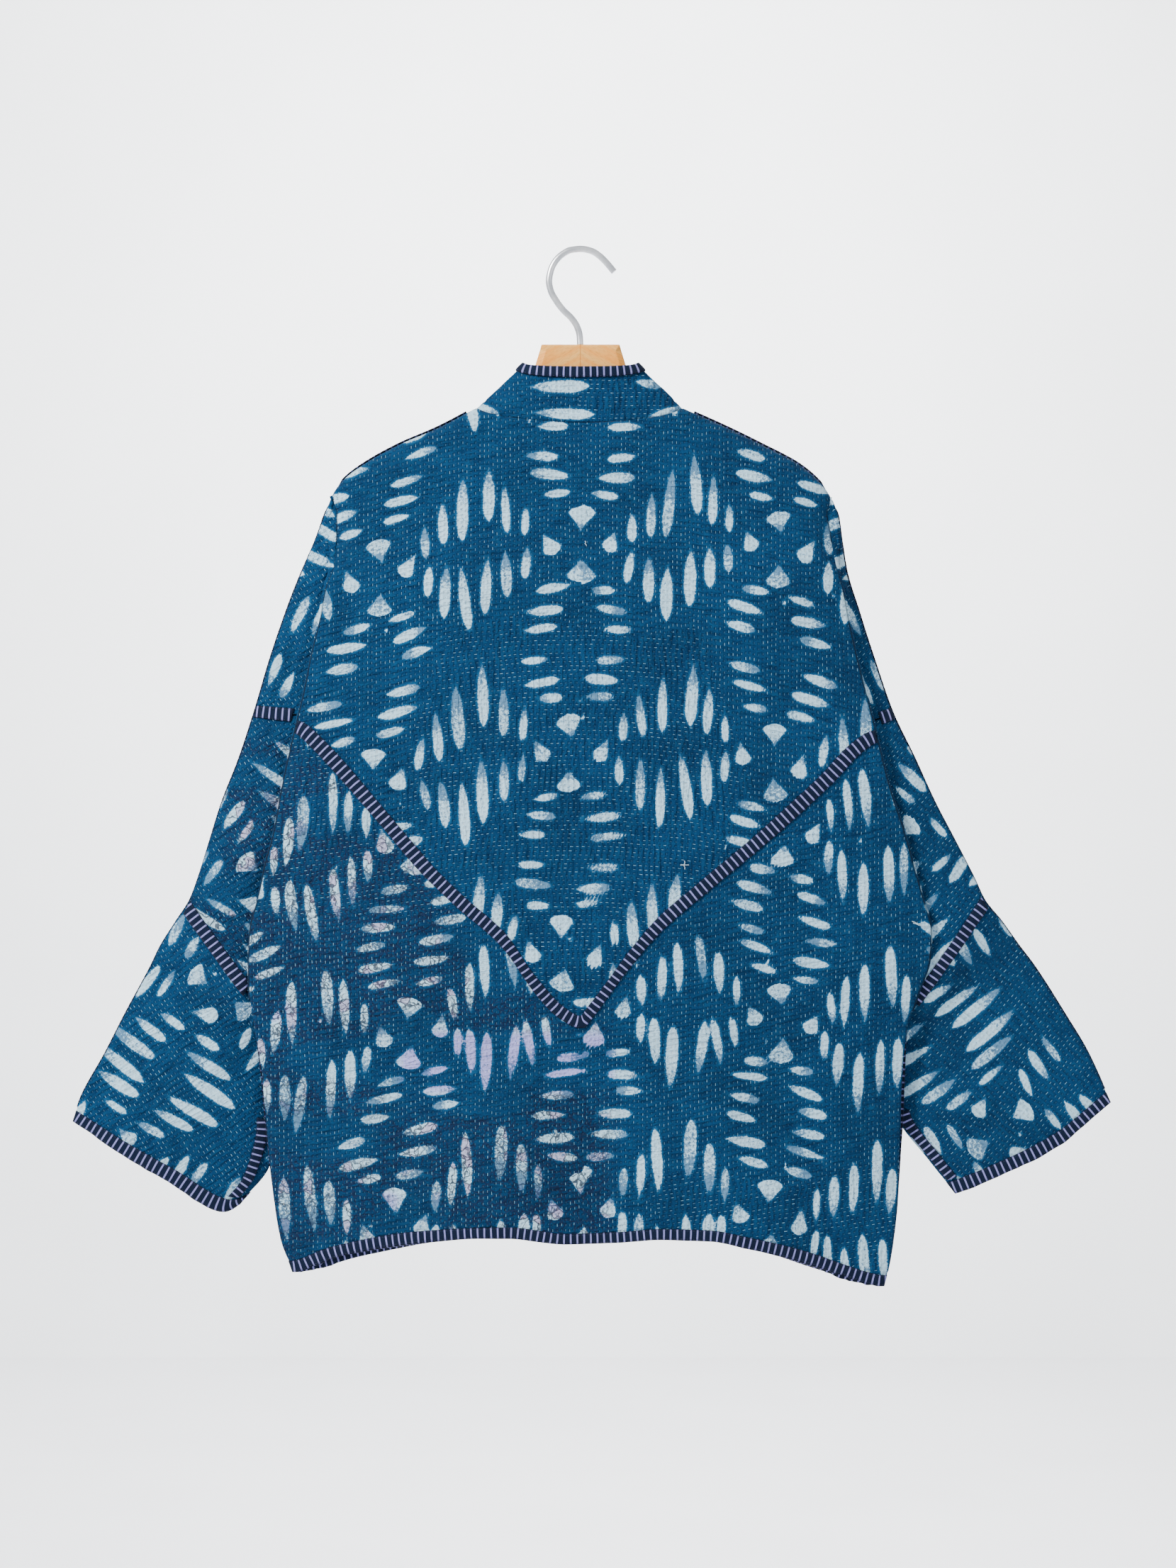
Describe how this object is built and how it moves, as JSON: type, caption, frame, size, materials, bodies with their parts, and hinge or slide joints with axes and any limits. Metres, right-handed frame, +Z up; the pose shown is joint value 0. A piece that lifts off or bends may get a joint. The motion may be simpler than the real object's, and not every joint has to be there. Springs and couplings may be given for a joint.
{
  "type": "kantha jacket on a wood hanger",
  "caption": "Hip-length indigo kantha jacket with wide sleeves and striped tape, hanging on a beech hanger with a silver hook, seen from behind.",
  "frame": {"origin": "where the hanger's hook rests on the rod or peg that holds it", "axes": "+Z up, -Y out of the jacket's back, +X towards the jacket's right-hand side as seen from behind"},
  "size_m": [0.8832, 0.0595, 0.88],
  "materials": {
    "indigo_cotton": "matte quilted cotton with running stitches",
    "striped_tape": "matte woven cotton, navy with lilac stripes",
    "beech": "satin lacquer",
    "satin_steel": "satin"
  },
  "bodies": {
    "root": {"back_yoke": "indigo_cotton", "back_lower": "indigo_cotton", "front_left": "indigo_cotton", "front_right": "indigo_cotton", "sleeve_end_back_left": "indigo_cotton", "sleeve_end_back_right": "indigo_cotton", "sleeve_end_front_left": "indigo_cotton", "sleeve_end_front_right": "indigo_cotton", "collar_band": "indigo_cotton", "band_tape": "striped_tape", "cuff_tape_back_left": "striped_tape", "cuff_tape_back_right": "striped_tape", "cuff_tape_front_left": "striped_tape", "cuff_tape_front_right": "striped_tape", "hem_tape_back": "striped_tape", "hem_tape_front_left": "striped_tape", "hem_tape_front_right": "striped_tape", "lower_sleeve_tape_back_left": "striped_tape", "lower_sleeve_tape_back_right": "striped_tape", "lower_sleeve_tape_front_left": "striped_tape", "lower_sleeve_tape_front_right": "striped_tape", "side_tape_left": "striped_tape", "side_tape_right": "striped_tape", "top_tape_left": "striped_tape", "top_tape_right": "striped_tape", "underarm_tape_left": "striped_tape", "underarm_tape_right": "striped_tape", "upper_sleeve_tape_back_left": "striped_tape", "upper_sleeve_tape_back_right": "striped_tape", "upper_sleeve_tape_front_left": "striped_tape", "upper_sleeve_tape_front_right": "striped_tape", "yoke_tape": "striped_tape", "hanger_body": "beech", "hanger_hook": "satin_steel"}
  },
  "joints": []
}
